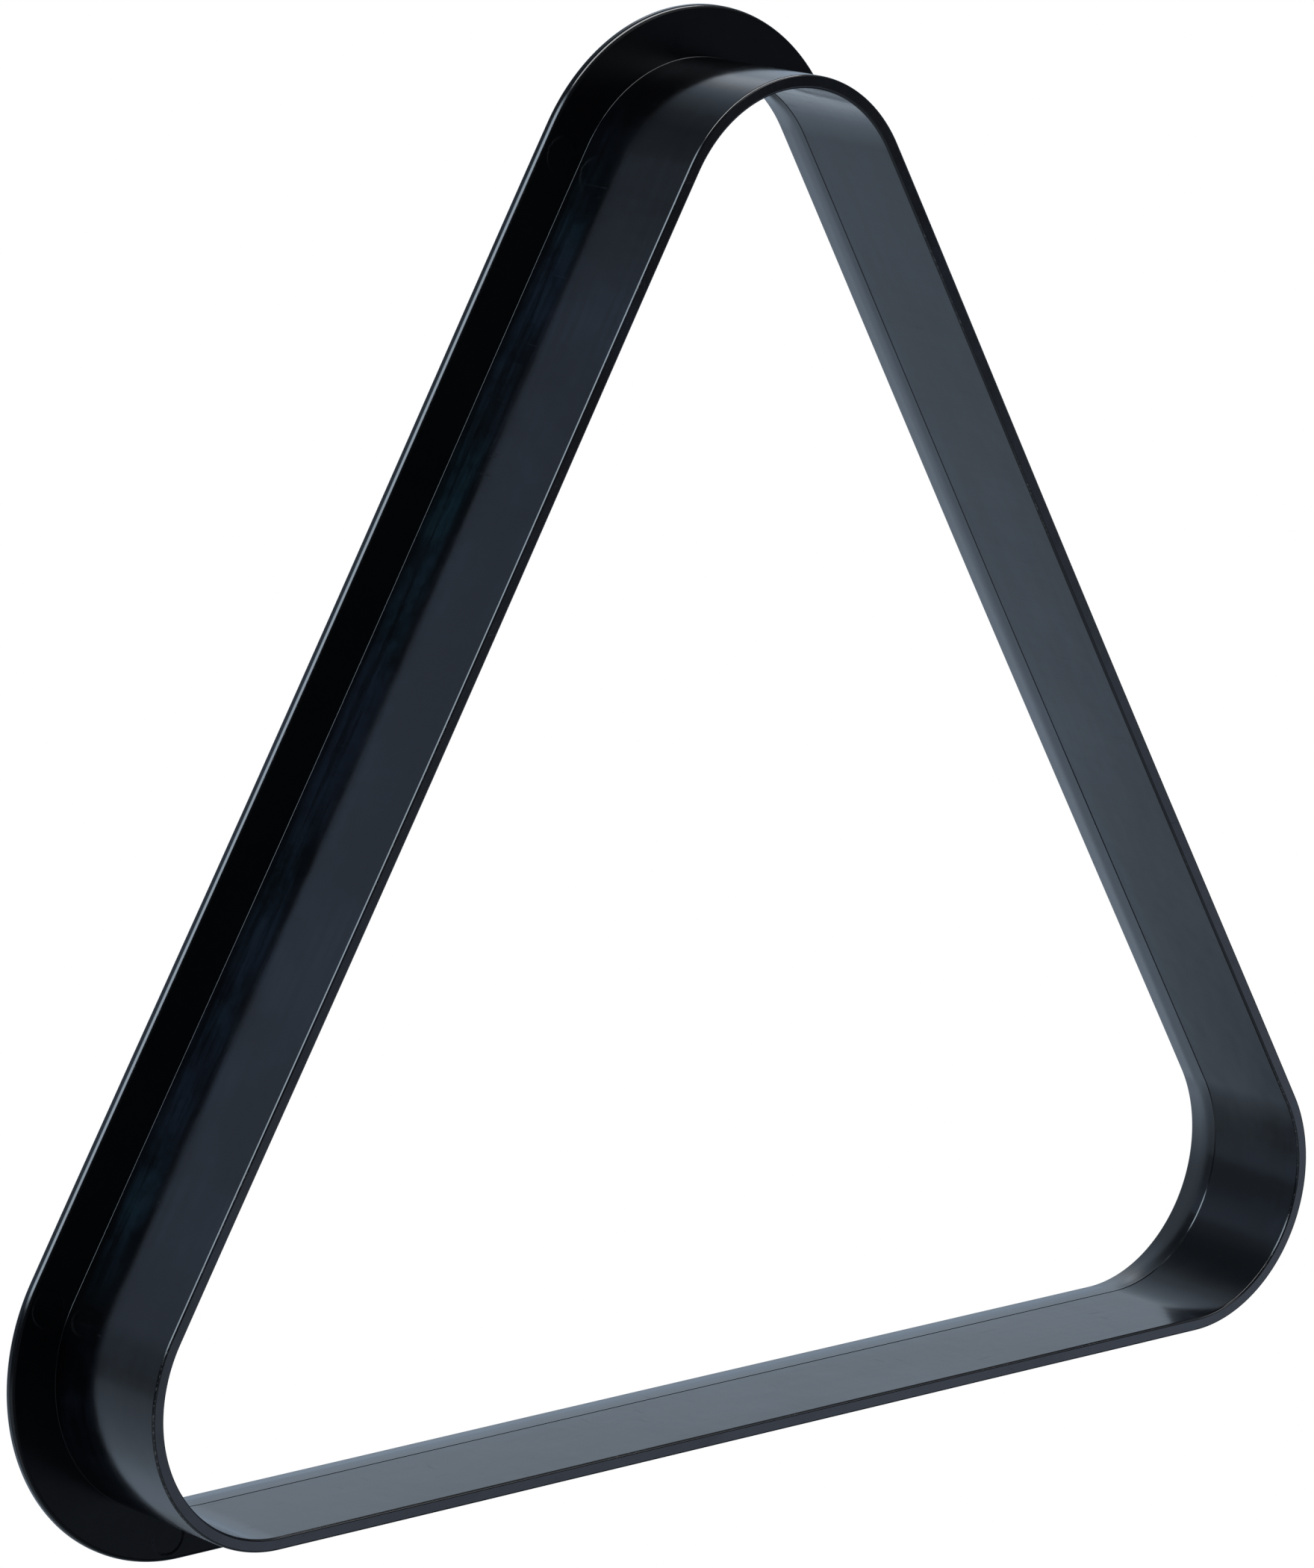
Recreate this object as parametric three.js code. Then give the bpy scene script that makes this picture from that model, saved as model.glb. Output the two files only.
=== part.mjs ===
// Triangle rack for pool balls: one injection-moulded plastic frame, with no joint, seam or fastener.
//
// Frame: millimetres, +Z up. The rack lies flat, as it does on a table. Its thin bottom rim is at z = 0 and
// its finger flange is on top. The origin is in the rim plane, at the middle of the rack's footprint.
// The apex points towards +Y and the base leg lies on the -Y side.
//
// The frame is one wall section carried round a three-sided outline. Every corner of the wall, inside,
// outside and flange, turns about one common centre, so the section stays the same all the way round.

import * as THREE from 'three';

// ---- Driving dimensions ----
const ballDiameter = 57.15; // standard pool ball
const ballRows = 5; // rows of one to five balls
const ballClearance = 1.15; // gap between the packed balls and each leg
const rackHeight = 31.8;
const wallThickness = 2.6; // at the rim
const outerLean = 0.15; // how far the outer wall leans out between the rim and the flange
const partingHeight = 23.8; // mould parting line inside the wall, above the rim
const boreLean = 0.1; // how far the inner wall leans in between the rim and the parting line
const mouthFlare = 1.0; // how far it opens out again between the parting line and the top
const flangeReach = 12.2; // from the inner wall at the rim out to the flange's edge
const flangeThickness = 2.0;
const innerCornerRadius = 27.4;

// ---- Edge rounding radii ----
const rimEdge = 0.5;
const mouthEdge = 0.4;
const flangeTopEdge = 0.5;
const flangeUnderEdge = 0.9;
const flangeRoot = 0.3; // concave, where the flange's underside meets the wall

// ---- Faceting ----
const stepsPerCorner = 24; // over the 120 degrees of one corner
const stepsPerEdge = 4; // over one rounded edge of the section

// The balls' centres make a triangle with sides of (rows - 1) diameters. A leg stands one ball radius
// and the clearance outside it.
const centresInradius = ((ballRows - 1) * ballDiameter) / (2 * Math.sqrt(3));
const innerInradius = centresInradius + ballDiameter / 2 + ballClearance;

// Corners of the wall section. Each is [distance out from the inner wall at the rim, height, edge radius].
const sectionCorners = [
  [0, 0, rimEdge],
  [wallThickness, 0, rimEdge],
  [wallThickness + outerLean, rackHeight - flangeThickness, flangeRoot],
  [flangeReach, rackHeight - flangeThickness, flangeUnderEdge],
  [flangeReach, rackHeight, flangeTopEdge],
  [mouthFlare - boreLean, rackHeight, mouthEdge],
  [-boreLean, partingHeight, 0],
];

// The points of one corner of the section: a single point when it is sharp, otherwise an arc tangent to
// both of its sides.
function roundCorner(before, corner, after, radius) {
  if (radius === 0) return [corner.clone()];
  const toBefore = before.clone().sub(corner).normalize();
  const toAfter = after.clone().sub(corner).normalize();
  const halfAngle = Math.acos(toBefore.dot(toAfter)) / 2;
  const bisector = toBefore.clone().add(toAfter).normalize();
  const centre = corner.clone().addScaledVector(bisector, radius / Math.sin(halfAngle));
  const tangentLength = radius / Math.tan(halfAngle);
  const start = corner.clone().addScaledVector(toBefore, tangentLength).sub(centre);
  const end = corner.clone().addScaledVector(toAfter, tangentLength).sub(centre);
  const turn = Math.atan2(start.cross(end), start.dot(end));
  const points = [];
  for (let i = 0; i <= stepsPerEdge; i += 1) {
    points.push(start.clone().rotateAround(new THREE.Vector2(0, 0), (turn * i) / stepsPerEdge).add(centre));
  }
  return points;
}

// The closed outline of the wall section, counterclockwise, with every edge rounded.
function wallSection() {
  const corners = sectionCorners.map(([out, height]) => new THREE.Vector2(out, height));
  const count = corners.length;
  return corners.flatMap((corner, i) => {
    const before = corners[(i + count - 1) % count];
    const after = corners[(i + 1) % count];
    return roundCorner(before, corner, after, sectionCorners[i][2]);
  });
}

// Stations where the section stands, counterclockwise seen from above. Each corner of the rack is an arc of
// stations about its own centre, and the straight legs join the last station of one corner to the first
// of the next.
function outlineStations() {
  const centreDistance = 2 * (innerInradius - innerCornerRadius);
  const stations = [];
  for (const cornerAngle of [-30, 90, 210]) {
    const toCorner = THREE.MathUtils.degToRad(cornerAngle);
    const centre = new THREE.Vector2(Math.cos(toCorner), Math.sin(toCorner)).multiplyScalar(centreDistance);
    for (let i = 0; i <= stepsPerCorner; i += 1) {
      const facing = toCorner + THREE.MathUtils.degToRad(120) * (i / stepsPerCorner - 0.5);
      stations.push({ centre, outward: new THREE.Vector2(Math.cos(facing), Math.sin(facing)) });
    }
  }
  return stations;
}

// Carries the section round the outline and closes the surface on itself in both directions.
function sweepSection(section, stations) {
  const positions = [];
  for (const { centre, outward } of stations) {
    for (const point of section) {
      const place = centre.clone().addScaledVector(outward, innerCornerRadius + point.x);
      positions.push(place.x, place.y, point.y);
    }
  }
  const indices = [];
  for (let i = 0; i < stations.length; i += 1) {
    const here = i * section.length;
    const next = ((i + 1) % stations.length) * section.length;
    for (let j = 0; j < section.length; j += 1) {
      const above = (j + 1) % section.length;
      indices.push(here + j, next + j, next + above);
      indices.push(here + j, next + above, here + above);
    }
  }
  const geometry = new THREE.BufferGeometry();
  geometry.setAttribute('position', new THREE.Float32BufferAttribute(positions, 3));
  geometry.setIndex(indices);
  geometry.computeVertexNormals();
  return geometry;
}

const blackPlastic = new THREE.MeshStandardMaterial({ color: 0x0c0e11, roughness: 0.15, metalness: 0 });
const frame = new THREE.Mesh(sweepSection(wallSection(), outlineStations()), blackPlastic);
frame.name = 'triangle_frame';

// The outline is built about the centre of the triangle. Moving it by half of what the apex reaches beyond
// the base leg puts the origin at the middle of the footprint.
const apexReach = 2 * (innerInradius - innerCornerRadius) + innerCornerRadius + flangeReach;
const baseReach = innerInradius + flangeReach;
frame.position.y = (baseReach - apexReach) / 2;

const rack = new THREE.Group();
rack.add(frame);

export default rack;
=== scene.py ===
import math

import bpy
import numpy as np
from mathutils import Matrix, Vector, noise


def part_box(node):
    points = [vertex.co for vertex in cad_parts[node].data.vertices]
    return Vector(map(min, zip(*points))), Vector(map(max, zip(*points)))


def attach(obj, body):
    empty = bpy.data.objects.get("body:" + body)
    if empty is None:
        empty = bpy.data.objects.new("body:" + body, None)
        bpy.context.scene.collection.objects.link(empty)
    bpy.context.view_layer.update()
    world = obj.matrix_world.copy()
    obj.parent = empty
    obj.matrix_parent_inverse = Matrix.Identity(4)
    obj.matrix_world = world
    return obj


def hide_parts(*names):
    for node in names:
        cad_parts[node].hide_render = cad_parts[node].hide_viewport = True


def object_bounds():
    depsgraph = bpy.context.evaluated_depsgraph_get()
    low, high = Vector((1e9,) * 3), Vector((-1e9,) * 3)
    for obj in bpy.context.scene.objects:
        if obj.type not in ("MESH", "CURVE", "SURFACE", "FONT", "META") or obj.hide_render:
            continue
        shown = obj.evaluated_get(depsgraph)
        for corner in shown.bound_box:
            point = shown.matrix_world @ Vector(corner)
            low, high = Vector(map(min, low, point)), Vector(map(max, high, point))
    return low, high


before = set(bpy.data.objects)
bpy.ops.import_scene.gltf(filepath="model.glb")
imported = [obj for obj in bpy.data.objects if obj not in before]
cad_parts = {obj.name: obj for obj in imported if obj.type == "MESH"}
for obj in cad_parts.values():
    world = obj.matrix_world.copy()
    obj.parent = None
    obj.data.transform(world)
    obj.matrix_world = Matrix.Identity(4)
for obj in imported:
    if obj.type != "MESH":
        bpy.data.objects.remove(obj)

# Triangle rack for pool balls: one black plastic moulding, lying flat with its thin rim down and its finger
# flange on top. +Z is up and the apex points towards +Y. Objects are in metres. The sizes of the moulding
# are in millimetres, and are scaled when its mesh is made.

MM = 0.001
CAD_NODE = "triangle_frame"
cad_low, cad_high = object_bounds()

# ---- Wall section, in millimetres ----
WALL_THICKNESS = 2.6  # at the rim
OUTER_LEAN = -0.3  # how far the outer wall leans out between the rim and the flange
PARTING_HEIGHT = 23.8  # mould parting line inside the wall
PARTING_GROOVE_DEPTH = 0.12  # the fine groove that the mould's halves leave along the line
PARTING_GROOVE_WIDTH = 0.36
BORE_LEAN = 0.1  # how far the bore leans in between the rim and the parting line
BORE_BELLY = 0.02  # how far it swells inwards half way between them
MOUTH_FLARE = 1.0  # how far it opens out again above the parting line
FLARE_START = 0.1  # how much of the flare comes in its gentle lower part
FLARE_RISE = 3.0  # how high that part is
FLANGE_REACH = 12.2  # from the bore at the rim to the flange's edge
FLANGE_THICKNESS = 2.0

# ---- Rounding radii of the section's corners, in millimetres ----
RIM_EDGE = 0.45
FLANGE_ROOT = 0.12  # concave, where the flange's underside meets the wall
FLANGE_UNDER_EDGE = 0.9
FLANGE_TOP_EDGE = 0.5
MOUTH_EDGE = 0.4
FLARE_CURVE = 25.0
GROOVE_EDGE = 0.04

# ---- How far each leg bows in at its middle, by the direction that the leg faces in degrees ----
LEG_BOW = {30: 0.51, 150: 0.39, 270: 0.05}

# ---- Waviness of the walls, in millimetres ----
BROAD_SWELL = 0.026
BROAD_CELL = (46, 46, 19)  # the size of its waves along x, y and z
SMALL_SWELL = 0.006
SMALL_CELL = (15, 15, 9)
SMALL_SHIFT = 7  # keeps the small waves out of step with the broad ones
SWELL_PROBE = 0.5  # distance over which the slope is measured

# ---- Painted sheen on the walls, the key softbox's hazy reflection painted into the colour, as heights above the rim in millimetres ----
PAINTED_SHEEN_FOOT = 20.2
PAINTED_SHEEN_FOOT_FADE = 1.6
PAINTED_SHEEN_TOP = 31.0
PAINTED_SHEEN_TOP_FADE = 4.0
PAINTED_SHEEN_END_FADE = 0.16  # it also fades towards the ends of a leg, over this share of half a leg

# ---- Ejector pin marks under the flange, in millimetres ----
PIN_RADIUS = 3.6
PIN_DEPTH = 0.1
PIN_LIP = 0.35  # width of the rounded step round a mark
PIN_TURN = {-30: 55, 90: 67, 210: 55}  # degrees from each corner's middle to the marks on its two sides

# ---- Mesh density ----
CORNER_HALF_TURN = 60.0  # degrees from the middle of a corner to its ends
COARSE_TURN = 1.5  # degrees between sections round a corner
COARSE_STEP = 3.0  # millimetres between sections along a leg
FINE_STEP = 0.27  # millimetres between sections across a pin mark
PIN_MARGIN = 0.6  # fine sections reach this far past a mark


# =====================================================================================================
# Plan
# =====================================================================================================

box_low, box_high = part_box(CAD_NODE)
width, depth, height = (box_high - box_low) / MM

# The corners' centres lie at this distance from the middle of the triangle. The footprint is
# sqrt(3) * distance + 2 * outer radius wide and 1.5 * distance + 2 * outer radius deep.
corner_distance = (width - depth) / (math.sqrt(3) - 1.5)
outer_radius = (width - math.sqrt(3) * corner_distance) / 2
bore_radius = outer_radius - FLANGE_REACH
leg_length = math.sqrt(3) * corner_distance
middle = np.array([(box_low.x + box_high.x) / 2, box_high.y]) / MM - [0, corner_distance + outer_radius]
base_height = box_low.z / MM

# The pin marks lie half way across the underside of the flange.
pin_reach = bore_radius + (WALL_THICKNESS + OUTER_LEAN + FLANGE_REACH) / 2


def plan_direction(degrees):
    return np.array([math.cos(math.radians(degrees)), math.sin(math.radians(degrees))])


def corner_centre(degrees):
    return middle + corner_distance * plan_direction(degrees)


def spaced(start, stop, step):
    """Evenly spaced values from start up to, but not including, stop."""
    count = max(1, math.ceil((stop - start) / step - 1e-6))
    return [start + (stop - start) * k / count for k in range(count)]


def corner_turns(pin_turn):
    """The angles of the sections round a corner, from its middle. They are finer across a pin mark."""
    fine_turn = math.degrees(FINE_STEP / pin_reach)
    zone_turn = math.degrees((PIN_RADIUS + PIN_MARGIN) / pin_reach)
    edge = min(CORNER_HALF_TURN, pin_turn - zone_turn)
    turns = spaced(-CORNER_HALF_TURN, -edge, fine_turn) if edge < CORNER_HALF_TURN else []
    turns += spaced(-edge, edge, COARSE_TURN)
    turns += spaced(edge, CORNER_HALF_TURN, fine_turn) if edge < CORNER_HALF_TURN else []
    return turns


def leg_places(pin_turn, next_pin_turn):
    """How far along a leg its sections stand. They are finer where a mark of either corner reaches it."""
    zone = PIN_RADIUS + PIN_MARGIN
    past = [pin_reach * math.sin(math.radians(turn - CORNER_HALF_TURN)) + zone
            for turn in (pin_turn, next_pin_turn)]
    start_fine, end_fine = (max(0.0, reach) for reach in past)
    places = spaced(0, start_fine, FINE_STEP) if start_fine > 0 else []
    places += spaced(start_fine, leg_length - end_fine, COARSE_STEP)
    places += spaced(leg_length - end_fine, leg_length, FINE_STEP) if end_fine > 0 else []
    return places


def outline_stations():
    """Where the section stands, counterclockwise from above, as rows of plan centre, outward direction, how
    far the section is moved in, how that changes along the leg, and 1 along a leg but 0 at its ends."""
    corners = list(PIN_TURN)
    rows = []
    for i, corner in enumerate(corners):
        centre = corner_centre(corner)
        for turn in corner_turns(PIN_TURN[corner]):
            rows.append([*centre, *plan_direction(corner + turn), 0.0, 0.0, 0.0])

        next_corner = corners[(i + 1) % len(corners)]
        facing = corner + 60
        along = (corner_centre(corner + 120) - centre) / leg_length
        for place in leg_places(PIN_TURN[corner], PIN_TURN[next_corner]):
            u = 2 * place / leg_length - 1
            bow = LEG_BOW[facing] * (1 - u * u) ** 2
            slope = LEG_BOW[facing] * -8 * u * (1 - u * u) / leg_length
            # This fades the painted sheen towards the leg's ends.
            mid_leg = np.clip((1 - abs(u)) / PAINTED_SHEEN_END_FADE, 0, 1)
            rows.append([*(centre + along * place), *plan_direction(facing), bow, slope, mid_leg])
    return np.array(rows)


# =====================================================================================================
# Section
# =====================================================================================================


def rounded_corner(before, corner, after, radius, steps):
    """An arc tangent to both sides of a corner, as rows of distance out, height and the normal's two
    parts."""
    towards = before - corner
    onwards = after - corner
    towards /= np.linalg.norm(towards)
    onwards /= np.linalg.norm(onwards)
    half = math.acos(np.dot(towards, onwards)) / 2
    bisector = (towards + onwards) / np.linalg.norm(towards + onwards)
    centre = corner + bisector * radius / math.sin(half)
    start = corner + towards * radius / math.tan(half) - centre
    turn = math.pi - 2 * half
    side = 1 if towards[0] * onwards[1] - towards[1] * onwards[0] < 0 else -1
    rows = []
    for k in range(steps + 1):
        a = side * turn * k / steps
        spoke = np.array([start[0] * math.cos(a) - start[1] * math.sin(a),
                          start[0] * math.sin(a) + start[1] * math.cos(a)])
        rows.append(np.concatenate([centre + spoke, side * spoke / radius]))
    return rows


def wall_section():
    """The closed outline of the wall, counterclockwise, as rows of distance out, height and the normal's two
    parts."""
    under = height - FLANGE_THICKNESS
    half_groove = PARTING_GROOVE_WIDTH / 2
    # Distance out, height, radius, steps round the corner and steps along the run after it.
    corners = [
        (0, 0, RIM_EDGE, 9, 2),
        (WALL_THICKNESS, 0, RIM_EDGE, 9, 14),
        (WALL_THICKNESS + OUTER_LEAN, under, FLANGE_ROOT, 6, 30),
        (FLANGE_REACH, under, FLANGE_UNDER_EDGE, 11, 1),
        (FLANGE_REACH, height, FLANGE_TOP_EDGE, 8, 6),
        (MOUTH_FLARE - BORE_LEAN, height, MOUTH_EDGE, 8, 3),
        (FLARE_START - BORE_LEAN, PARTING_HEIGHT + FLARE_RISE, FLARE_CURVE, 10, 3),
        (-BORE_LEAN, PARTING_HEIGHT + half_groove, GROOVE_EDGE, 2, 1),
        (PARTING_GROOVE_DEPTH - BORE_LEAN, PARTING_HEIGHT, GROOVE_EDGE, 2, 1),
        (-BORE_LEAN, PARTING_HEIGHT - half_groove, GROOVE_EDGE, 2, 14),
    ]
    places = [np.array(corner[:2], float) for corner in corners]
    count = len(corners)
    arcs = []
    for i, (_, _, radius, steps, _) in enumerate(corners):
        arcs.append(rounded_corner(places[i - 1], places[i], places[(i + 1) % count], radius, steps))
    rows = []
    for i, arc in enumerate(arcs):
        rows += arc
        following = arcs[(i + 1) % count][0]
        runs = corners[i][4]
        for k in range(1, runs):
            rows.append(arc[-1] + (following - arc[-1]) * k / runs)
    return np.array(rows)


# =====================================================================================================
# The moulding
# =====================================================================================================


def press_pin_marks(points, normals):
    """Ejector pins leave shallow round recesses in the underside of the flange."""
    lowest = base_height + height - FLANGE_THICKNESS - 0.01
    under = (points[:, 2] > lowest) & (normals[:, 2] < -0.99)
    for corner, turn in PIN_TURN.items():
        for side in (-1, 1):
            away = points[:, :2] - (corner_centre(corner) + pin_reach * plan_direction(corner + side * turn))
            reach = np.linalg.norm(away, axis=1)
            t = np.clip((reach - PIN_RADIUS) / PIN_LIP + 0.5, 0, 1)
            sink = PIN_DEPTH * (1 - t * t * (3 - 2 * t))
            steep = PIN_DEPTH * 6 * t * (1 - t) / PIN_LIP
            sink[~under] = 0
            steep[~under] = 0
            points[:, 2] += sink
            normals[:, :2] -= away * (steep / np.maximum(reach, 1e-6))[:, None]
    normals /= np.linalg.norm(normals, axis=1, keepdims=True)


def swell_bore(points, normals, outs):
    """The bore swells gently between the rim and the parting line."""
    span = np.clip((points[:, 2] - base_height) / PARTING_HEIGHT * 2 - 1, -1, 1)
    in_bore = (outs < 0.01) & (np.abs(normals[:, 2]) < 0.5)
    inwards = normals * [1, 1, 0] * in_bore[:, None]
    points += inwards * (BORE_BELLY * (1 - span**2))[:, None]
    normals[:, 2] += in_bore * BORE_BELLY * 4 * span / PARTING_HEIGHT


def waviness(points):
    """The slight waviness of moulded walls, in millimetres, at each point."""
    levels = np.empty(len(points))
    for i, (x, y, z) in enumerate(points):
        broad = noise.noise(Vector((x / BROAD_CELL[0], y / BROAD_CELL[1], z / BROAD_CELL[2])))
        small_x = x / SMALL_CELL[0] + SMALL_SHIFT
        small = noise.noise(Vector((small_x, y / SMALL_CELL[1], z / SMALL_CELL[2])))
        levels[i] = BROAD_SWELL * broad + SMALL_SWELL * small
    return levels


def make_wavy(points, normals):
    """Moves each point along its normal by the waviness, and tilts the normal to suit."""
    level = waviness(points)
    slopes = [(waviness(points + SWELL_PROBE * axis) - level) / SWELL_PROBE for axis in np.eye(3)]
    tilt = np.stack(slopes, 1)
    tilt -= normals * np.sum(tilt * normals, axis=1, keepdims=True)
    points += normals * level[:, None]
    normals -= tilt
    normals /= np.linalg.norm(normals, axis=1, keepdims=True)


def surface_fields(points, normals, section, stations):
    """What the material needs to know about each point."""
    under_flange = (normals[:, 2] < -0.7) & (points[:, 2] > base_height + height / 2)

    # A painted sheen lies on the walls under the flange, along the legs but not round the corners. It is the
    # key softbox's hazy reflection, painted into the colour.
    up_wall = points[:, 2] - base_height
    painted_sheen = np.clip((up_wall - PAINTED_SHEEN_FOOT) / PAINTED_SHEEN_FOOT_FADE, 0, 1)
    painted_sheen *= np.clip((PAINTED_SHEEN_TOP - up_wall) / PAINTED_SHEEN_TOP_FADE, 0, 1)
    painted_sheen *= np.repeat(stations[:, 6], len(section)) * (np.abs(normals[:, 2]) < 0.5)

    # Knocks reach the rounded edges of the rim, where the normal is aslant, and less so the flange's edges.
    aslant = np.minimum(np.abs(section[:, 2]), np.abs(section[:, 3]))
    near_rim = section[:, 1] < 5
    on_flange_edge = section[:, 0] > 11
    exposed = aslant * near_rim + 0.6 * aslant * on_flange_edge
    return {"edge_exposure": np.tile(exposed, len(stations)), "under_flange": under_flange, "painted_sheen": painted_sheen}


def moulding_mesh():
    section = wall_section()
    stations = outline_stations()
    centre, outward = stations[:, None, 0:2], stations[:, None, 2:4]
    bow, slope = stations[:, None, 4:5], stations[:, None, 5:6]
    along = np.stack([-outward[..., 1], outward[..., 0]], -1)
    out, up, normal_out, normal_up = (section[None, :, k : k + 1] for k in range(4))

    plan = centre + outward * (bore_radius + out - bow)
    points = np.concatenate([plan, np.broadcast_to(up + base_height, plan[..., :1].shape)], -1)
    flat_normals = (outward + along * slope) * normal_out
    normals = np.concatenate([flat_normals, np.broadcast_to(normal_up, plan[..., :1].shape)], -1)
    points = points.reshape(-1, 3)
    normals = normals.reshape(-1, 3)
    normals /= np.linalg.norm(normals, axis=1, keepdims=True)

    press_pin_marks(points, normals)
    swell_bore(points, normals, np.tile(section[:, 0], len(stations)))
    make_wavy(points, normals)

    count, ring = len(stations), len(section)
    here = np.arange(count)[:, None] * ring
    ahead = (np.arange(count)[:, None] + 1) % count * ring
    j = np.arange(ring)[None, :]
    above = (j + 1) % ring
    faces = np.stack([here + j, ahead + j, ahead + above, here + above], -1).reshape(-1, 4)

    mesh = bpy.data.meshes.new("rack_moulding")
    mesh.from_pydata((points * MM).tolist(), [], faces.tolist())
    mesh.polygons.foreach_set("use_smooth", [True] * len(faces))
    mesh.normals_split_custom_set_from_vertices(normals.tolist())
    # Among these attributes is the band of the painted sheen.
    for name, values in surface_fields(points, normals, section, stations).items():
        attribute = mesh.attributes.new(name, "FLOAT", "POINT")
        attribute.data.foreach_set("value", values.astype(np.float32))
    mesh.update()
    return mesh


# =====================================================================================================
# Node helpers
# =====================================================================================================


class Graph:
    """A node tree written as nested calls. Each call adds a node and returns one of its outputs."""

    def __init__(self, tree):
        self.tree = tree
        tree.nodes.clear()

    def node(self, kind, output=0, inputs=None, **settings):
        made = self.tree.nodes.new(kind)
        for key, value in settings.items():
            setattr(made, key, value)
        for key, value in (inputs or {}).items():
            self.feed(made.inputs[key], value)
        return made.outputs[output] if len(made.outputs) else made

    def feed(self, socket, value):
        if isinstance(value, bpy.types.NodeSocket):
            self.tree.links.new(value, socket)
        else:
            socket.default_value = value

    def math(self, operation, a, b=0.0, c=0.0):
        return self.node("ShaderNodeMath", inputs={0: a, 1: b, 2: c}, operation=operation)

    def remap(self, value, low, high, to_low=0.0, to_high=1.0):
        """Runs smoothly from to_low, where the value is at low, to to_high, where it is at high."""
        inputs = {"Value": value, "From Min": low, "From Max": high, "To Min": to_low, "To Max": to_high}
        return self.node("ShaderNodeMapRange", inputs=inputs, interpolation_type="SMOOTHSTEP")

    def mix_colour(self, share, a, b):
        made = self.tree.nodes.new("ShaderNodeMix")
        made.data_type = "RGBA"
        for socket, value in ((made.inputs[0], share), (made.inputs[6], a), (made.inputs[7], b)):
            self.feed(socket, value)
        return made.outputs[2]

    def add_colours(self, a, b):
        return self.node("ShaderNodeVectorMath", inputs={0: a, 1: b}, operation="ADD")

    def scale_colour(self, colour, level):
        return self.node("ShaderNodeVectorMath", inputs={0: colour, "Scale": level}, operation="SCALE")

    def scaled(self, vector, x, y, z):
        return self.node("ShaderNodeMapping", inputs={"Vector": vector, "Scale": (x, y, z)})

    def noise(self, vector, scale, detail=2.0, roughness=0.5):
        inputs = {"Vector": vector, "Scale": scale, "Detail": detail, "Roughness": roughness}
        return self.node("ShaderNodeTexNoise", inputs=inputs)

    def attribute(self, name):
        return self.node("ShaderNodeAttribute", "Fac", attribute_name=name)

    def layered(self, base, layers):
        """The base with an amount of each layer added to it."""
        for layer, amount in layers:
            base = self.math("MULTIPLY_ADD", layer, amount, base)
        return base


# =====================================================================================================
# Black plastic
# =====================================================================================================

RESIN_DARK = (0.0007, 0.0009, 0.0013, 1)
RESIN_LIGHT = (0.0011, 0.0014, 0.0020, 1)
# Painted sheen: the key softbox's hazy reflection on the walls under the flange, painted in as teal and navy
# colour.
TEAL_PAINTED_SHEEN = (0.0066, 0.0182, 0.0272, 1)
NAVY_PAINTED_SHEEN = (0.0085, 0.0145, 0.0250, 1)
FILM = (0.0095, 0.0145, 0.0260, 1)
SCUFFED = (0.150, 0.155, 0.165, 1)

# Noise textures of the surface, as waves to a metre, detail and roughness.
CLOUDS = (45.0, 3.0, 0.55)
PEEL = (170.0, 1.0)
SCUFF_PATCHES = (38.0, 2.0)
SCUFF_GRAIN = (1500.0, 3.0, 0.7)
# The painted sheen's changes of hue, and its dabs.
PAINTED_SHEEN_HUES = (24.0, 3.0, 0.6)
PAINTED_SHEEN_DABS = (110.0, 4.0, 0.65)
FILM_PATCHES = (26.0, 4.0, 0.65)

# Stretched ones, as waves to a metre along x, y and z.
DRAWN_STREAKS = (900, 900, 26)
WIPED_STREAKS = (16, 16, 1300)
SMEARS = (34, 34, 560)

SCUFF_SHARE = 0.5  # how far scuffs, specks and the film hide the resin
SPECK_SHARE = 0.7
FILM_SHARE = 0.50
CLEAN_ROUGHNESS = (0.105, 0.145)  # where the resin is clear, and where it is cloudy
REFRACTION = 1.5
WALL_GLOSS = 0.5
UNDERSIDE_GLOSS = 0.12
RELIEF_HEIGHT = 0.02 * MM

# Hairline scratches run three ways. Each has a scale for x, y and z, and is long where its scale is low.
SCRATCH_SCALES = [(2600, 130, 130), (90, 1900, 700), (800, 2200, 110)]
SCRATCH_CUT = (0.735, 0.79)  # the levels of the noise between which a scratch sets in

DUST_SCALE = 95.0  # cells to a metre
DUST_FREE = 0.86  # the share of the cells without a speck
DUST_SIZE = (0.020, 0.010)  # a speck fades in between these distances, in cells, from its middle


def scuffed_edges(g, place):
    """Scuffs on exposed edges, in patches, broken up finely."""
    patches = g.remap(g.noise(place, *SCUFF_PATCHES), 0.50, 0.62)
    broken = g.remap(g.noise(place, *SCUFF_GRAIN), 0.5, 0.62)
    exposure = g.attribute("edge_exposure")
    return g.math("MULTIPLY", g.math("MULTIPLY", patches, broken), g.remap(exposure, 0.25, 0.6))


def hairline_scratches(g, place):
    """Very long, thin cells of noise, cut off so that few are left."""
    scratches = 0.0
    for x, y, z in SCRATCH_SCALES:
        line = g.remap(g.noise(g.scaled(place, x, y, z), 1.0, 1.0), *SCRATCH_CUT)
        scratches = g.math("MAXIMUM", line, scratches)
    return scratches


def dust_specks(g, place):
    cells = g.tree.nodes.new("ShaderNodeTexVoronoi")
    cells.inputs["Scale"].default_value = DUST_SCALE
    g.tree.links.new(place, cells.inputs["Vector"])
    draw = g.node("ShaderNodeSeparateColor", 0, {0: cells.outputs["Color"]})
    dusty = g.math("GREATER_THAN", draw, DUST_FREE)
    return g.math("MULTIPLY", g.remap(cells.outputs["Distance"], *DUST_SIZE), dusty)


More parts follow.
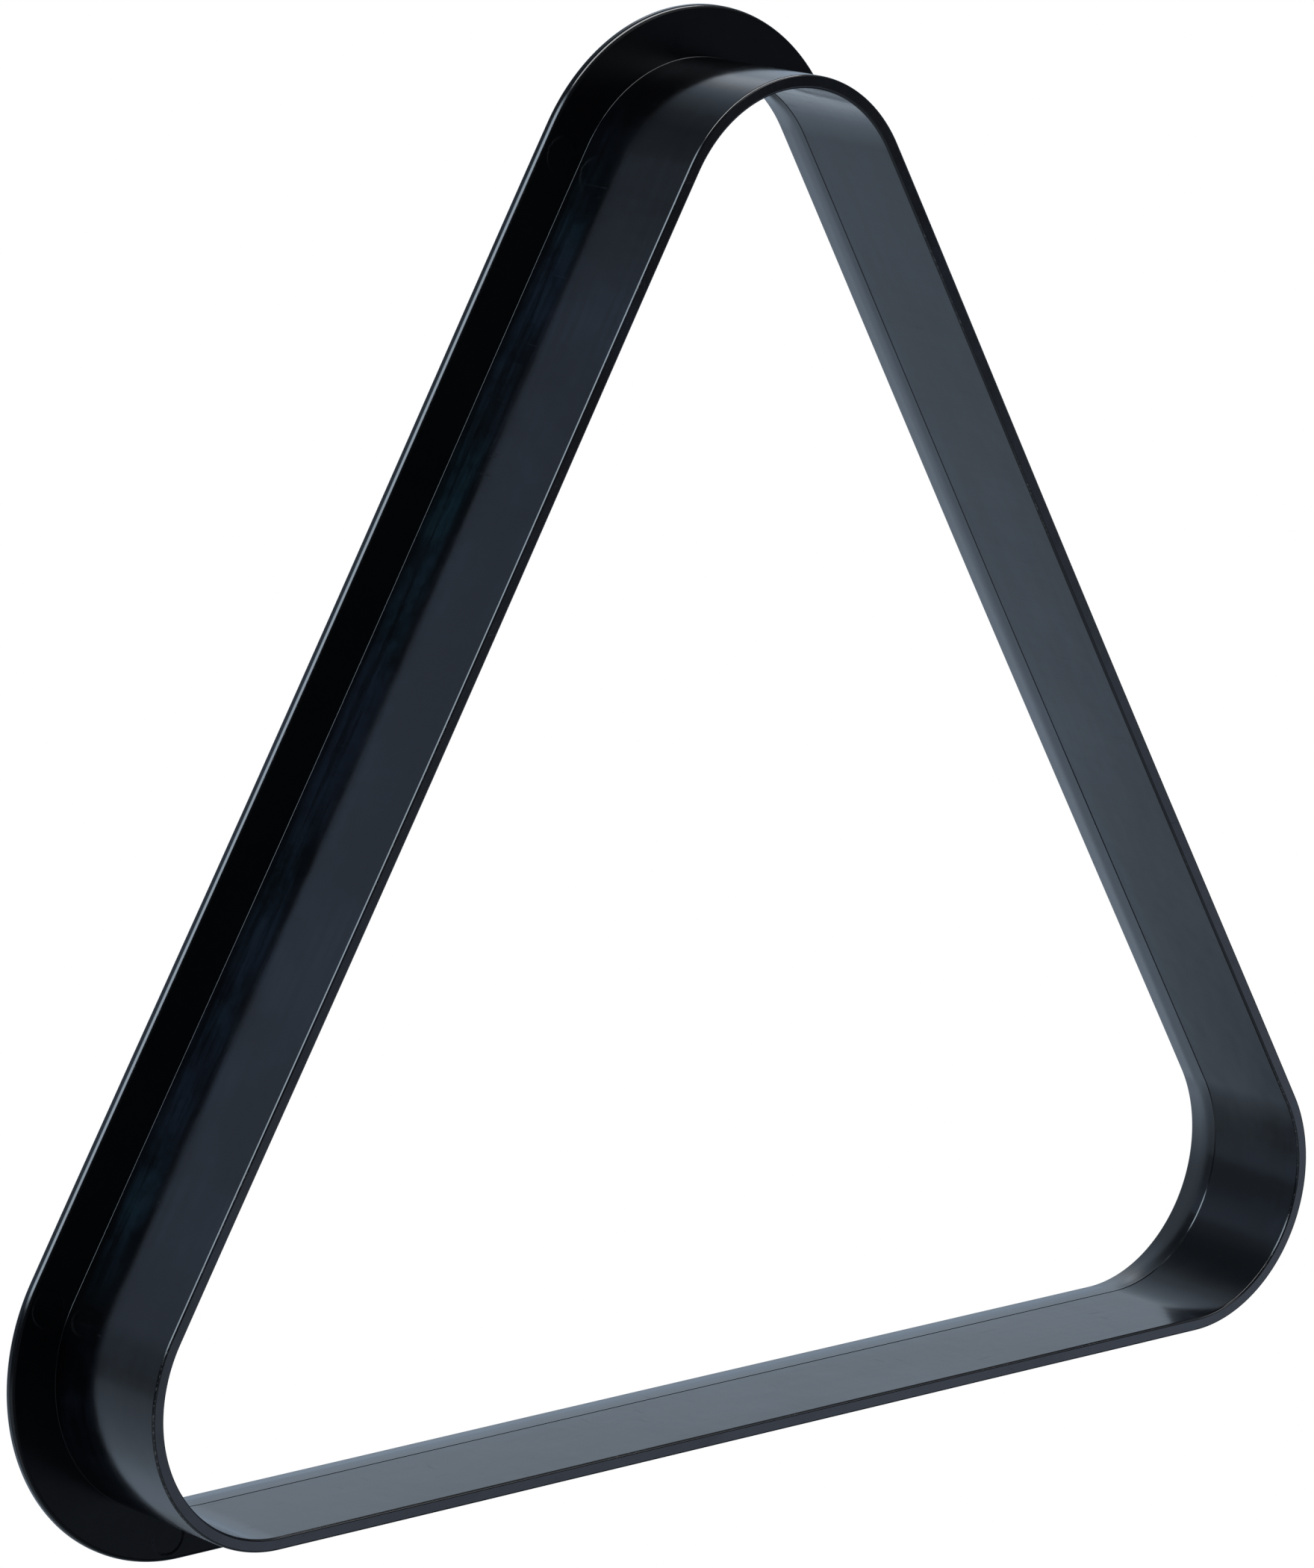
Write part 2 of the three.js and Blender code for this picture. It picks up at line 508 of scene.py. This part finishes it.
def with_film_and_painted_sheen(g, place, resin, under_flange):
    """The resin with a painted sheen along the legs under the flange, teal in places and navy in others: the
    key softbox's hazy reflection painted into the colour. Handling leaves a thin film elsewhere, except
    under the flange."""
    # Painted sheen, in the band that the mesh carries, broken into smears and dabs: it stands in for the key
    # softbox's hazy reflection.
    hue = g.remap(g.noise(place, *PAINTED_SHEEN_HUES), 0.40, 0.60)
    painted_sheen_colour = g.mix_colour(hue, TEAL_PAINTED_SHEEN, NAVY_PAINTED_SHEEN)
    smears = g.remap(g.noise(g.scaled(place, *SMEARS), 1.0, 5.0, 0.70), 0.36, 0.60, 0.28, 1.0)
    dabs = g.remap(g.noise(place, *PAINTED_SHEEN_DABS), 0.34, 0.62, 0.30, 1.0)
    painted_sheen = g.math("MULTIPLY", g.math("MULTIPLY", g.attribute("painted_sheen"), smears), dabs)
    resin = g.mix_colour(painted_sheen, resin, painted_sheen_colour)
    film = g.math("MULTIPLY", g.remap(g.noise(place, *FILM_PATCHES), 0.44, 0.64), smears)
    film = g.math("MULTIPLY", film, g.math("SUBTRACT", 1.0, under_flange))
    return g.mix_colour(g.math("MULTIPLY", film, FILM_SHARE), resin, FILM)


def black_plastic():
    material = bpy.data.materials.new("black_plastic")
    material.use_nodes = True
    g = Graph(material.node_tree)
    place = g.node("ShaderNodeTexCoord", "Object")
    under_flange = g.attribute("under_flange")

    # Faint streaks: up the walls, as a moulding leaves its tool, and round them, as a cloth wipes them.
    drawn = g.noise(g.scaled(place, *DRAWN_STREAKS), 1.0, 3.0)
    wiped = g.noise(g.scaled(place, *WIPED_STREAKS), 1.0, 3.0)
    cloudy = g.noise(place, *CLOUDS)
    knocks = scuffed_edges(g, place)
    scratches = hairline_scratches(g, place)
    wear = g.math("MULTIPLY", dust_specks(g, place), SPECK_SHARE)
    wear = g.math("MAXIMUM", g.math("MULTIPLY", knocks, SCUFF_SHARE), wear)

    resin = g.mix_colour(cloudy, RESIN_DARK, RESIN_LIGHT)
    colour = g.mix_colour(wear, with_film_and_painted_sheen(g, place, resin, under_flange), SCUFFED)

    # The underside of the flange is duller and rougher than the walls.
    roughness = g.layered(g.remap(cloudy, 0.3, 0.7, *CLEAN_ROUGHNESS), [
        (g.remap(drawn, 0.35, 0.75), 0.022),
        (g.remap(wiped, 0.40, 0.75), 0.025),
        (scratches, 0.10),
        (wear, 0.35),
        (under_flange, 0.16),
    ])
    gloss = g.remap(under_flange, 0.0, 1.0, WALL_GLOSS, UNDERSIDE_GLOSS)

    # The relief is a faint orange peel with the streaks on it, and the scratches and knocks cut into it.
    peel = g.noise(place, *PEEL)
    relief = g.layered(peel, [(drawn, 0.05), (wiped, 0.04), (scratches, -0.10), (knocks, -0.25)])
    shader = g.node("ShaderNodeBsdfPrincipled", inputs={
        "Base Color": colour,
        "Roughness": roughness,
        "IOR": REFRACTION,
        "Specular IOR Level": gloss,
        "Normal": g.node("ShaderNodeBump", inputs={"Distance": RELIEF_HEIGHT, "Height": relief}),
    })
    g.node("ShaderNodeOutputMaterial", inputs={"Surface": shader})
    return material


moulding = bpy.data.objects.new("rack_moulding", moulding_mesh())
bpy.context.scene.collection.objects.link(moulding)
moulding.data.materials.append(black_plastic())
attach(moulding, "root")
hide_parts(CAD_NODE)


# =====================================================================================================
# Studio
# =====================================================================================================

# Tints of the studio's light, as shares of the level.
COOL = (0.81, 1.0, 1.24)
VIOLET = (0.78, 1.0, 1.37)
PALE = (0.90, 1.0, 1.13)
CLEAR = (0.84, 1.0, 1.18)

# What the studio's walls and ceiling send towards the rack, round the compass: (azimuth in degrees, level,
# tint), for directions 53, 47 and 40 degrees up.
TOP_RING = [
    (0, 0.55, COOL), (50, 0.51, COOL), (87, 0.42, COOL), (104, 0.52, COOL), (122, 0.60, COOL),
    (138, 0.82, PALE), (150, 0.86, PALE), (161, 0.66, COOL), (171, 0.58, COOL), (240, 0.65, COOL),
    (262, 0.90, COOL), (270, 0.76, COOL), (284, 1.02, COOL), (301, 1.00, COOL), (318, 0.89, COOL),
    (336, 0.76, COOL), (360, 0.55, COOL),
]
MIDDLE_RING = [
    (0, 0.20, COOL), (20, 0.26, VIOLET), (32, 0.41, VIOLET), (40, 0.46, VIOLET), (43.5, 0.44, VIOLET),
    (47, 0.18, COOL), (54, 0.15, COOL), (75, 0.10, COOL), (89, 0.16, COOL), (103, 0.30, COOL),
    (117, 0.50, COOL), (125, 0.72, PALE), (131, 1.12, PALE), (140, 1.26, PALE), (148, 0.83, CLEAR),
    (158, 0.80, CLEAR), (171, 0.58, COOL), (198, 0.42, COOL), (216, 0.60, COOL), (228, 0.96, CLEAR),
    (245, 1.00, CLEAR), (256, 0.86, COOL), (268, 0.78, COOL), (282, 0.75, COOL), (295, 0.67, COOL),
    (323, 0.58, COOL), (337, 0.50, COOL), (348, 0.42, COOL), (352, 0.25, COOL), (360, 0.21, COOL),
]
LOWER_RING = [
    (0, 0.25, COOL), (14, 0.25, COOL), (30, 0.33, VIOLET), (46, 0.38, VIOLET), (54, 0.24, COOL),
    (63, 0.13, COOL), (80, 0.09, COOL), (93, 0.09, COOL), (109, 0.26, COOL), (125, 0.45, COOL),
    (141, 0.55, COOL), (150, 0.66, CLEAR), (156, 0.78, CLEAR), (180, 0.60, COOL), (240, 0.34, COOL),
    (262, 0.36, COOL), (282, 0.31, COOL), (311, 0.14, COOL), (327, 0.19, COOL), (343, 0.38, VIOLET),
    (351, 0.43, VIOLET), (357, 0.26, COOL), (360, 0.25, COOL),
]

BLACK = (0, 0, 0, 1)
WHITE = (1, 1, 1, 1)
DIM_WALLS = (0.08, 0.10, 0.13, 1)
DOME_LOW = (0.01, 0.01, 0.01, 1)
DOME_HIGH = (0.85, 0.87, 0.89, 1)

# Each pair of angles below is where a fade starts and ends, in degrees. First the elevations at which one
# part of the studio gives way to the next.
GROUND_TO_WALLS = (-36.0, -24.0)
WALLS_TO_RINGS = (30.0, 42.0)
LOWER_TO_MIDDLE = (40.8, 44.6)
MIDDLE_TO_TOP = (50.2, 53.6)
DOME_RISE = (20.0, 50.0)

# Near the side strip the second ring starts higher up.
RING_RISE = 2.8
RING_RISE_EDGE = (24.0, 14.0)  # off the strip's azimuth

# Opposite the key the second ring keeps only this share of its light at its upper edge.
OPPOSITE_SHARE = 0.08
OPPOSITE_START = (215, 195)
OPPOSITE_END = (225, 290)
OPPOSITE_EDGE = (47.2, 48.4)

# The ground is lit on one side of an edge that runs aslant.
GROUND_LIT = (0.84, 0.99, 1.28, 1)
GROUND_DARK = (0.09, 0.10, 0.12, 1)
GROUND_SLANT = 0.6  # how far the edge drops over one degree of azimuth
GROUND_EDGE = 74.0  # the elevation that it would have at azimuth 0
GROUND_EDGE_FADE = (-4.5, 4.0)
GROUND_END = (226, 212)

# A dim light fills the side away from the apex, from the ground up to the walls.
DIM_FILL = (0.38, 0.45, 0.52, 1)
FILL_START = (232, 256)
FILL_END = (354, 340)
FILL_TOP = (36.0, 20.0)

# The key softbox stands upright beside the camera.
KEY_AZIMUTH = 39
KEY_EDGE = (19.0, 9.0)  # off its azimuth
KEY_FOOT = (-44.0, -34.0)
KEY_TOP = (38.0, 0.0)
KEY_LEVEL = 8.0
KEY_TINT = (0.83, 1.0, 1.16)

# A dimmer strip stands at the side, past the apex. It is brightest at its foot.
STRIP_AZIMUTH = 136.0
STRIP_EDGE = (22.0, 6.0)  # off its azimuth
STRIP_FOOT = (-62.0, -50.0)
STRIP_TOP = (42.0, 20.0)
STRIP_DIMMING = (-42.0, -34.0)
STRIP_LEVELS = (3.8, 0.3)  # at its foot, and above it
STRIP_TINT = (0.95, 1.0, 1.06)


def compass_ramp(g, turn, ring):
    """The colour of a ring of the studio at a turn of 0 to 1 round the compass."""
    made = g.tree.nodes.new("ShaderNodeValToRGB")
    stops = made.color_ramp.elements
    # A new ramp comes with stops of its own, and has to keep one of them.
    while len(stops) > 1:
        stops.remove(stops[-1])
    for i, (azimuth, level, tint) in enumerate(ring):
        stop = stops[0] if i == 0 else stops.new(azimuth / 360)
        stop.position = azimuth / 360
        stop.color = (*(level * share for share in tint), 1)
    g.tree.links.new(turn, made.inputs[0])
    return made.outputs[0]


def across(g, turn, azimuths, to_low=0.0):
    """Runs from to_low at the first azimuth to 1 at the second."""
    return g.remap(turn, azimuths[0] / 360, azimuths[1] / 360, to_low)


def ceiling_image(g, turn, elevation, off_strip):
    """The mirror image of the studio's upper part: three rings, and dim walls under them."""
    lower, middle_band, top = (compass_ramp(g, turn, ring) for ring in (LOWER_RING, MIDDLE_RING, TOP_RING))
    past_opposite = across(g, turn, OPPOSITE_END, OPPOSITE_SHARE)
    before_opposite = across(g, turn, OPPOSITE_START, OPPOSITE_SHARE)
    upper_share = g.math("MAXIMUM", past_opposite, before_opposite)
    share = g.remap(elevation, *OPPOSITE_EDGE, 1.0, upper_share)
    middle_band = g.mix_colour(share, BLACK, middle_band)
    lowered = g.math("MULTIPLY_ADD", g.remap(off_strip, *RING_RISE_EDGE), -RING_RISE, elevation)
    above = g.mix_colour(g.remap(lowered, *LOWER_TO_MIDDLE), lower, middle_band)
    above = g.mix_colour(g.remap(elevation, *MIDDLE_TO_TOP), above, top)
    return g.mix_colour(g.remap(elevation, *WALLS_TO_RINGS), DIM_WALLS, above)


def ground_image(g, turn, elevation):
    """The mirror image of the ground."""
    off_edge = g.math("MULTIPLY_ADD", turn, GROUND_SLANT * 360, g.math("ADD", elevation, -GROUND_EDGE))
    lit = g.math("MULTIPLY", g.remap(off_edge, *GROUND_EDGE_FADE), across(g, turn, GROUND_END))
    return g.mix_colour(lit, GROUND_DARK, GROUND_LIT)


def key_image(g, x, y, z, elevation):
    """The mirror image of the key softbox."""
    towards_key = plan_direction(KEY_AZIMUTH)
    flat_squared = g.math("SUBTRACT", 1.0, g.math("MULTIPLY", z, z))
    flat_length = g.math("MAXIMUM", g.math("SQRT", flat_squared), 0.001)
    facing = g.math("MULTIPLY", x, float(towards_key[0]))
    facing = g.math("DIVIDE", g.math("MULTIPLY_ADD", y, float(towards_key[1]), facing), flat_length)
    off_axis = g.math("DEGREES", g.math("ARCCOSINE", facing))
    upright = g.math("MULTIPLY", g.remap(elevation, *KEY_FOOT), g.remap(elevation, *KEY_TOP))
    level = g.math("MULTIPLY", g.math("MULTIPLY", g.remap(off_axis, *KEY_EDGE), upright), KEY_LEVEL)
    return g.scale_colour(KEY_TINT, level)


def strip_image(g, elevation, off_strip):
    """The mirror image of the side strip."""
    strip = g.math("MULTIPLY", g.remap(off_strip, *STRIP_EDGE), g.remap(elevation, *STRIP_TOP))
    strip = g.math("MULTIPLY", strip, g.remap(elevation, *STRIP_FOOT))
    level = g.math("MULTIPLY", strip, g.remap(elevation, *STRIP_DIMMING, *STRIP_LEVELS))
    return g.scale_colour(STRIP_TINT, level)


def studio_image(g, x, y, z):
    """What mirror-like reflection sees of the studio in the direction x, y, z, and the elevation."""
    elevation = g.math("DEGREES", g.math("ARCSINE", z))
    azimuth = g.math("DEGREES", g.math("ARCTAN2", y, x))
    turn = g.math("FRACT", g.math("ADD", g.math("DIVIDE", azimuth, 360.0), 1.0))
    off_strip = g.math("ABSOLUTE", g.math("MULTIPLY_ADD", turn, 360.0, -STRIP_AZIMUTH))

    ceiling = ceiling_image(g, turn, elevation, off_strip)
    ground = ground_image(g, turn, elevation)
    image = g.mix_colour(g.remap(elevation, *GROUND_TO_WALLS), ground, ceiling)
    fill = g.math("MULTIPLY", across(g, turn, FILL_START), across(g, turn, FILL_END))
    fill = g.math("MULTIPLY", fill, g.remap(elevation, *FILL_TOP))
    image = g.mix_colour(fill, image, DIM_FILL)
    image = g.add_colours(image, key_image(g, x, y, z, elevation))
    return g.add_colours(image, strip_image(g, elevation, off_strip)), elevation


def studio_world():
    """White for the camera, the studio's image for mirror-like reflection, and an even dome over the floor
    for everything else."""
    world = bpy.data.worlds.new("studio")
    world.use_nodes = True
    # The light path chooses between the three, which only works while rays find the world themselves.
    world.cycles.sampling_method = "NONE"
    g = Graph(world.node_tree)
    parts = g.tree.nodes.new("ShaderNodeSeparateXYZ")
    g.tree.links.new(g.node("ShaderNodeTexCoord", "Generated"), parts.inputs[0])
    mirrored, elevation = studio_image(g, *parts.outputs)
    dome = g.mix_colour(g.remap(elevation, *DOME_RISE), DOME_LOW, DOME_HIGH)

    path = g.tree.nodes.new("ShaderNodeLightPath")
    seen = g.mix_colour(path.outputs["Is Glossy Ray"], dome, mirrored)
    seen = g.mix_colour(path.outputs["Is Camera Ray"], seen, WHITE)
    background = g.node("ShaderNodeBackground", inputs={"Color": seen, "Strength": 1.0})
    g.node("ShaderNodeOutputWorld", inputs={"Surface": background})
    bpy.context.scene.world = world


# ---- Floor, in metres ----
FLOOR_DROP = 0.0002  # below the rim, so that the two faces don't fight
FLOOR_RADIUS = 8.0
FLOOR_RINGS = 24
FLOOR_SPOKES = 64
FLOOR_FADE = (0.5, 2.4)  # it fades into the white between these distances
FLOOR_FIBRES = (260.0, 4.0, 0.6)  # noise, as above
PAPER_DARK = (0.80, 0.80, 0.795, 1)
PAPER_LIGHT = (0.84, 0.84, 0.84, 1)


def floor_mesh():
    """A disc whose rings lie closer together towards its middle."""
    points = [(0.0, 0.0, 0.0)]
    for ring in range(1, FLOOR_RINGS + 1):
        reach = FLOOR_RADIUS * (ring / FLOOR_RINGS) ** 2
        for k in range(FLOOR_SPOKES):
            turn = 2 * math.pi * k / FLOOR_SPOKES
            points.append((reach * math.cos(turn), reach * math.sin(turn), 0.0))
    faces = [(0, 1 + k, 1 + (k + 1) % FLOOR_SPOKES) for k in range(FLOOR_SPOKES)]
    for ring in range(1, FLOOR_RINGS):
        inner, outer = 1 + (ring - 1) * FLOOR_SPOKES, 1 + ring * FLOOR_SPOKES
        for k in range(FLOOR_SPOKES):
            after = (k + 1) % FLOOR_SPOKES
            faces.append((inner + k, outer + k, outer + after, inner + after))
    mesh = bpy.data.meshes.new("studio_floor")
    mesh.from_pydata(points, [], faces)
    return mesh


def floor_paper():
    material = bpy.data.materials.new("studio_floor")
    material.use_nodes = True
    g = Graph(material.node_tree)
    place = g.node("ShaderNodeTexCoord", "Object")
    distance = g.node("ShaderNodeVectorMath", "Value", {0: place}, operation="LENGTH")
    far = g.remap(distance, *FLOOR_FADE)
    fibres = g.noise(place, *FLOOR_FIBRES)
    paper = g.mix_colour(fibres, PAPER_DARK, PAPER_LIGHT)
    matt = g.node("ShaderNodeBsdfDiffuse", inputs={"Color": paper})
    clear = g.node("ShaderNodeBsdfTransparent")
    below = g.node("ShaderNodeNewGeometry", "Backfacing")
    surface = g.node("ShaderNodeMixShader", inputs={0: g.math("MAXIMUM", far, below), 1: matt, 2: clear})
    g.node("ShaderNodeOutputMaterial", inputs={"Surface": surface})
    return material


def studio_floor():
    """A round pale floor under the rim. It is seen from above only, and fades into the white far away."""
    floor = bpy.data.objects.new("studio_floor", floor_mesh())
    floor.location = (0, 0, cad_low.z - FLOOR_DROP)
    bpy.context.scene.collection.objects.link(floor)
    floor.data.materials.append(floor_paper())
    floor.visible_glossy = False
    floor.visible_diffuse = False
    floor.visible_shadow = False


LAMP_TINT = (0.96, 0.98, 1.0)


def softbox(name, place, width, height, energy, mirrored=False):
    """A soft light that faces the rack. It lights matt surfaces only or, when mirrored, shows only in
    mirror-like reflection."""
    lamp = bpy.data.lights.new(name, "AREA")
    lamp.shape = "RECTANGLE"
    lamp.size, lamp.size_y = width, height
    lamp.energy = energy
    lamp.color = LAMP_TINT
    light = bpy.data.objects.new(name, lamp)
    light.location = place
    light.rotation_euler = (-light.location).to_track_quat("-Z", "Y").to_euler()
    light.visible_camera = False
    light.visible_glossy = mirrored
    light.visible_diffuse = not mirrored
    bpy.context.scene.collection.objects.link(light)


# =====================================================================================================
# Camera
# =====================================================================================================

# The camera looks up at the rim from below the rack. The apex is at the top of its picture, and the leg that
# faces 30 degrees is nearest.
CAMERA_PLACE = Vector((1.04758, 0.35624, -1.15763))
CAMERA_FORWARD = Vector((-0.64312, -0.22470, 0.73206))
CAMERA_UP = Vector((-0.12948, 0.97412, 0.18524))
CAMERA_LENS = 193.6


def studio_camera():
    data = bpy.data.cameras.new("camera")
    data.lens = CAMERA_LENS
    data.sensor_width = 36.0
    data.clip_start = 0.05
    data.clip_end = 40.0
    camera = bpy.data.objects.new("camera", data)
    right = CAMERA_FORWARD.cross(CAMERA_UP).normalized()
    up = right.cross(CAMERA_FORWARD).normalized()
    axes = Matrix((right, up, -CAMERA_FORWARD.normalized())).transposed()
    camera.matrix_world = Matrix.Translation(CAMERA_PLACE) @ axes.to_4x4()
    bpy.context.scene.collection.objects.link(camera)
    bpy.context.scene.camera = camera


studio_world()
studio_floor()
softbox("overhead_softbox", (-0.45, 0.35, 1.5), 1.1, 0.8, 14.0)
softbox("side_softbox", (*(1.5 * plan_direction(KEY_AZIMUTH)), 0.3), 1.2, 0.5, 9.5)
softbox("front_softbox", (0.75, 0.25, -0.85), 0.6, 0.6, 6.0)
softbox("apex_softbox", (-0.04, 0.48, -0.03), 0.54, 0.16, 2.6, mirrored=True)
studio_camera()
bpy.context.scene.view_settings.view_transform = "Standard"

bpy.context.view_layer.update()
